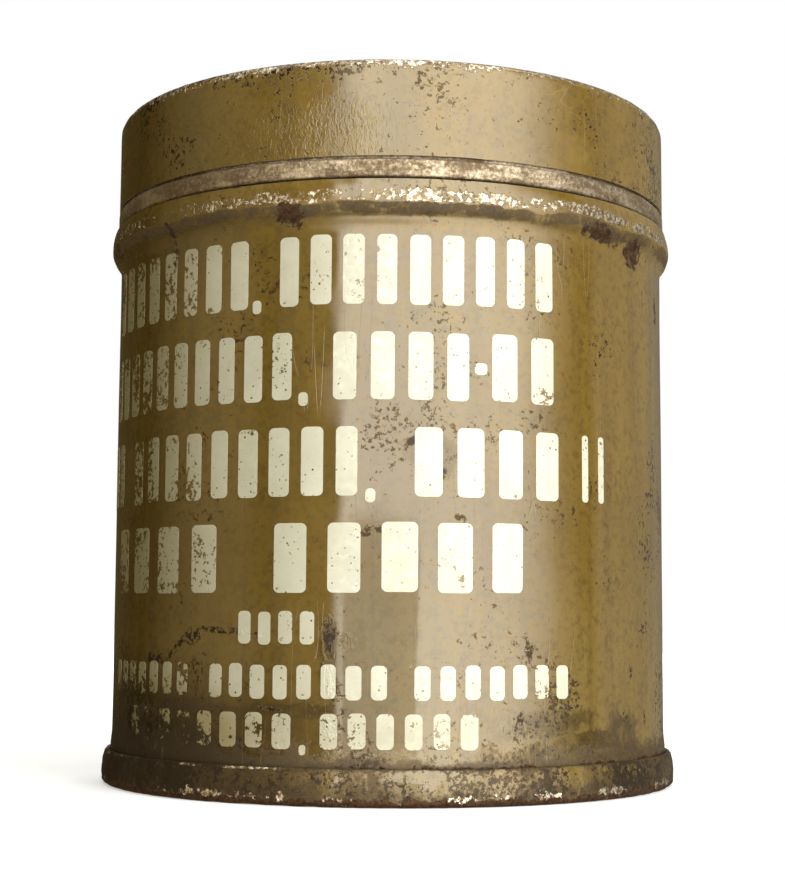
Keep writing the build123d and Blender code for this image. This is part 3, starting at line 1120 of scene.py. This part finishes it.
def make_world():
    """White behind the tin for the camera, and a dim even light for everything else."""
    world = bpy.data.worlds.new("studio")
    bpy.context.scene.world = world
    world.use_nodes = True
    nodes, links = world.node_tree.nodes, world.node_tree.links
    nodes.clear()
    path = nodes.new("ShaderNodeLightPath")
    mix = nodes.new("ShaderNodeMixShader")
    links.new(path.outputs["Is Camera Ray"], mix.inputs[0])
    for slot, color in ((1, (0.215, 0.192, 0.105, 1)), (2, (1, 1, 1, 1))):
        light = nodes.new("ShaderNodeBackground")
        light.inputs["Color"].default_value = color
        links.new(light.outputs[0], mix.inputs[slot])
    out = nodes.new("ShaderNodeOutputWorld")
    links.new(mix.outputs[0], out.inputs[0])


def mirrored_only(obj):
    """A screen that shows in reflections and nowhere else."""
    for material in obj.data.materials:
        material.cycles.emission_sampling = "NONE"
    obj.visible_camera = False
    obj.visible_diffuse = False
    obj.visible_shadow = False
    obj.visible_transmission = False


def glowing(name, strength):
    """A black surface that gives off light and mirrors nothing."""
    p = Paint(name)
    p.set("Base Color", (0, 0, 0))
    p.set("Specular IOR Level", 0.0)
    p.set("Emission Strength", strength)
    return p


def make_screen():
    """A round screen, brighter to the front and right, that the gloss of the lacquer mirrors."""
    turns, radius, low, high = 180, 600, -700, 900
    angles = np.radians(np.arange(turns) * 360 / turns)
    ring = np.stack([radius * np.sin(angles), -radius * np.cos(angles)], axis=1)
    vertices = np.concatenate(
        [np.column_stack([ring, np.full(turns, low)]), np.column_stack([ring, np.full(turns, high)])]
    )
    faces = [(k, (k + 1) % turns, turns + (k + 1) % turns, turns + k) for k in range(turns)]
    screen = mesh_piece("reflection_screen", vertices, faces)
    p = glowing("reflection_screen", SCREEN_LIGHT)
    azimuth = p.math("ARCTAN2", p.x, p.times(p.y, -1.0))
    share = p.add(p.times(azimuth, 1 / (2 * math.pi)), 0.5)
    ramp = p.nodes.new("ShaderNodeValToRGB")
    p.links.new(share, ramp.inputs[0])
    elements = ramp.color_ramp.elements
    for _ in SCREEN_LEVELS[2:]:
        elements.new(0.5)
    for element, (at, level) in zip(elements, SCREEN_LEVELS):
        element.position = (at + 180) / 360
        pale = fade(level, 0.12, 0.45) if at < 75 else 1.0
        element.color = (level, level * (0.74 + 0.20 * pale), level * (0.34 + 0.46 * pale), 1)
    p.set("Emission Color", ramp.outputs[0])
    screen.data.materials.append(p.material)
    mirrored_only(screen)


def make_card(name, corners, color, strength):
    """A flat card in the mirrored surroundings, such as a soft box overhead."""
    card = mesh_piece(name, np.array(corners, float), [(0, 1, 2, 3)])
    p = glowing(name, strength)
    p.set("Emission Color", color)
    card.data.materials.append(p.material)
    mirrored_only(card)


def make_floor():
    """A white floor that fades into the white behind it."""
    half = 3000
    corners = [(-half, -half, 0), (half, -half, 0), (half, half, 0), (-half, half, 0)]
    floor = mesh_piece("floor", np.array(corners, float), [(0, 1, 2, 3)])
    p = Paint("floor")
    p.set("Base Color", (0.72, 0.76, 0.84))
    p.set("Roughness", 0.9)
    p.set("Specular IOR Level", 0.0)
    p.set("Emission Color", (1, 1, 1))
    p.set("Emission Strength", p.step(p.radius(), 40, 500, 0.45, 1.0))
    p.material.cycles.emission_sampling = "NONE"
    floor.data.materials.append(p.material)
    floor.visible_diffuse = False
    floor.visible_glossy = False


make_camera()
make_pieces()
finish_cad_nodes()
for settings in LAMPS:
    lamp(*settings)
make_world()
make_screen()
make_card("soft_box", [(-350, -450, 890), (450, -450, 890), (450, 350, 890), (-350, 350, 890)],
          (1.0, 0.96, 0.88), 3.0)
make_card("dark_card", [(-62, -207, -60), (36, -207, -60), (36, -207, 38), (-62, -207, 38)],
          (1.0, 0.93, 0.75), 1.8)
make_floor()
bpy.context.scene.view_settings.view_transform = "Standard"
